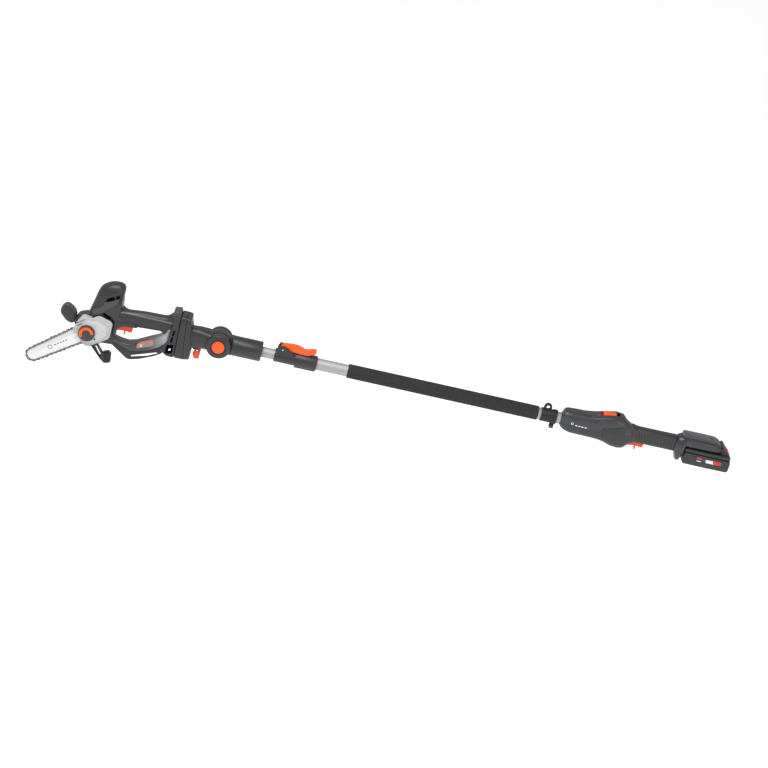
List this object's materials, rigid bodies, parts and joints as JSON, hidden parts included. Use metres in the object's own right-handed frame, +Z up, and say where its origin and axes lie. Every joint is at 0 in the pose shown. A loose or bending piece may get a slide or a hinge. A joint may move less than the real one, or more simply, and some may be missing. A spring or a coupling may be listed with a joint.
{
  "type": "telescoping pole saw",
  "caption": "Battery pruning saw on a telescoping pole: small guide bar and chain, tilting head joint, lever clamp, foam grip, strap ring, rear handle with trigger and slide-in battery.",
  "frame": {"origin": "centre of the strap eye on the ring behind the foam grip", "axes": "+X along the pole from the saw towards the battery, +Y away from the chain cover and bar knob side, along the strap eye, +Z up, from the battery towards the strap eye and the motor dome"},
  "size_m": [1.8905, 0.087, 0.2677],
  "materials": {
    "alu": "satin drawn tube",
    "bar_steel": "painted light, ground edges",
    "board": "circuit board",
    "cell_wrap": "shrink wrap",
    "chain_steel": "oiled steel",
    "contacts": "plated contacts",
    "copper": "laminations and windings",
    "cover_metal": "light grey satin paint",
    "dark_plastic": "fine moulded texture",
    "dock_plastic": "satin moulded",
    "foam": "matt foam rubber",
    "grip_rubber": "ribbed soft overmould",
    "latch_plastic": "gloss moulded",
    "orange_plastic": "satin moulded",
    "panel": "film over keys",
    "red_plastic": "satin moulded",
    "steel": "ground and polished",
    "trim_plastic": "satin moulded",
    "window": "tinted lens"
  },
  "bodies": {
    "pole_base": {"outer_tube": "alu", "foam_grip": "foam", "strap_ring": "dark_plastic", "strap_screw": "steel", "clamp_body": "dark_plastic", "clamp_pin": "steel", "clamp_pad": "dark_plastic", "rear_shell_left": "trim_plastic", "rear_shell_right": "trim_plastic", "rear_grip": "grip_rubber", "rear_pads": "dark_plastic", "led_window": "window", "control_board": "board", "rear_switch": "dark_plastic", "dock_cover": "dock_plastic", "dock_terminals": "contacts"},
    "inner_pole": {"inner_tube": "alu", "tube_bush": "dark_plastic", "pole_socket": "dark_plastic"},
    "neck": {"fork_neck": "dark_plastic", "adapter_block": "dark_plastic", "adapter_terminals": "contacts", "pivot_bolt": "steel", "latch_pin": "steel"},
    "saw_head": {"body_shell_left": "trim_plastic", "body_shell_right": "trim_plastic", "dome_cover": "dark_plastic", "handle_core": "dark_plastic", "handle_grip": "grip_rubber", "hand_guard": "dark_plastic", "branch_hook": "trim_plastic", "interface_plate": "trim_plastic", "status_panel": "panel", "front_switch": "dark_plastic", "guide_bar": "bar_steel", "saw_chain": "chain_steel", "bar_stud": "steel", "chain_cover": "cover_metal", "drive_bearings": "steel", "motor_stator": "copper"},
    "drive": {"sprocket_shaft": "steel", "drive_sprocket": "steel", "face_gear": "steel"},
    "rotor": {"motor_rotor": "steel", "motor_pinion": "steel", "cooling_fan": "dark_plastic"},
    "knob": {"bar_knob": "dark_plastic", "knob_tab": "orange_plastic"},
    "front_trigger": {"front_trigger": "red_plastic"},
    "front_trigger_lock": {"front_trigger_lock": "red_plastic"},
    "joint_button": {"joint_button": "orange_plastic"},
    "adapter_latch": {"adapter_latch": "red_plastic"},
    "clamp_lever": {"clamp_lever": "orange_plastic"},
    "power_slider": {"power_slider": "orange_plastic"},
    "rear_trigger": {"rear_trigger": "red_plastic"},
    "rear_trigger_lock": {"rear_trigger_lock": "red_plastic"},
    "battery": {"battery_case": "dark_plastic", "battery_lid": "dark_plastic", "battery_cells": "cell_wrap"},
    "battery_latch": {"battery_latch": "latch_plastic"}
  },
  "joints": [
    {"name": "pole_extend", "type": "slide", "parent": "pole_base", "child": "inner_pole", "axis": [-1, 0, 0], "range_m": [0, 0.42]},
    {"name": "head_tilt", "type": "hinge", "parent": "inner_pole", "child": "neck", "pos_m": [-0.888, 0, -0.024], "axis": [0, 1, 0], "range_deg": [-60, 60]},
    {"name": "head_release", "type": "slide", "parent": "neck", "child": "saw_head", "axis": [0, 0, 1], "range_m": [0, 0.11]},
    {"name": "sprocket_spin", "type": "hinge", "parent": "saw_head", "child": "drive", "pos_m": [-1.19689, 0, -0.03682], "axis": [0, 1, 0], "continuous": true},
    {"name": "rotor_spin", "type": "hinge", "parent": "saw_head", "child": "rotor", "pos_m": [-1.19689, 0.00275, 0.016], "axis": [0, 0, 1], "continuous": true},
    {"name": "knob_turn", "type": "hinge", "parent": "saw_head", "child": "knob", "pos_m": [-1.231, -0.042, -0.063], "axis": [0, 1, 0], "continuous": true},
    {"name": "front_trigger_pull", "type": "hinge", "parent": "saw_head", "child": "front_trigger", "pos_m": [-1.152, 0, -0.033], "axis": [0, -1, 0], "range_deg": [0, 7], "stiffness_Nm_per_rad": 0.6, "springref_deg": -14.32},
    {"name": "front_lock_press", "type": "slide", "parent": "front_trigger", "child": "front_trigger_lock", "axis": [0, 0, 1], "range_m": [0, 0.005], "stiffness_N_per_m": 150, "springref_m": -0.004},
    {"name": "joint_button_press", "type": "slide", "parent": "neck", "child": "joint_button", "axis": [0, 1, 0], "range_m": [0, 0.004], "stiffness_N_per_m": 900, "springref_m": -0.004},
    {"name": "adapter_latch_pull", "type": "hinge", "parent": "neck", "child": "adapter_latch", "pos_m": [-0.941, 0, -0.054], "axis": [0, -1, 0], "range_deg": [0, 14], "stiffness_Nm_per_rad": 0.4, "springref_deg": -17.19},
    {"name": "clamp_lever_open", "type": "hinge", "parent": "pole_base", "child": "clamp_lever", "pos_m": [-0.721, 0, 0], "axis": [0, -1, 0], "range_deg": [0, 90]},
    {"name": "power_switch_slide", "type": "slide", "parent": "pole_base", "child": "power_slider", "axis": [1, 0, 0], "range_m": [0, 0.006]},
    {"name": "rear_trigger_pull", "type": "hinge", "parent": "pole_base", "child": "rear_trigger", "pos_m": [0.239, 0, -0.0375], "axis": [0, -1, 0], "range_deg": [0, 7], "stiffness_Nm_per_rad": 0.6, "springref_deg": -14.32},
    {"name": "rear_lock_press", "type": "slide", "parent": "rear_trigger", "child": "rear_trigger_lock", "axis": [0, 0, 1], "range_m": [0, 0.005], "stiffness_N_per_m": 150, "springref_m": -0.004},
    {"name": "battery_slide", "type": "slide", "parent": "pole_base", "child": "battery", "axis": [1, 0, 0], "range_m": [0, 0.1]},
    {"name": "battery_latch_press", "type": "slide", "parent": "battery", "child": "battery_latch", "axis": [-0.7071, 0, -0.7071], "range_m": [0, 0.003], "stiffness_N_per_m": 900, "springref_m": -0.004}
  ],
  "couplings": [
    {"joint": "rotor_spin", "follows": "sprocket_spin", "ratio": -4}
  ]
}
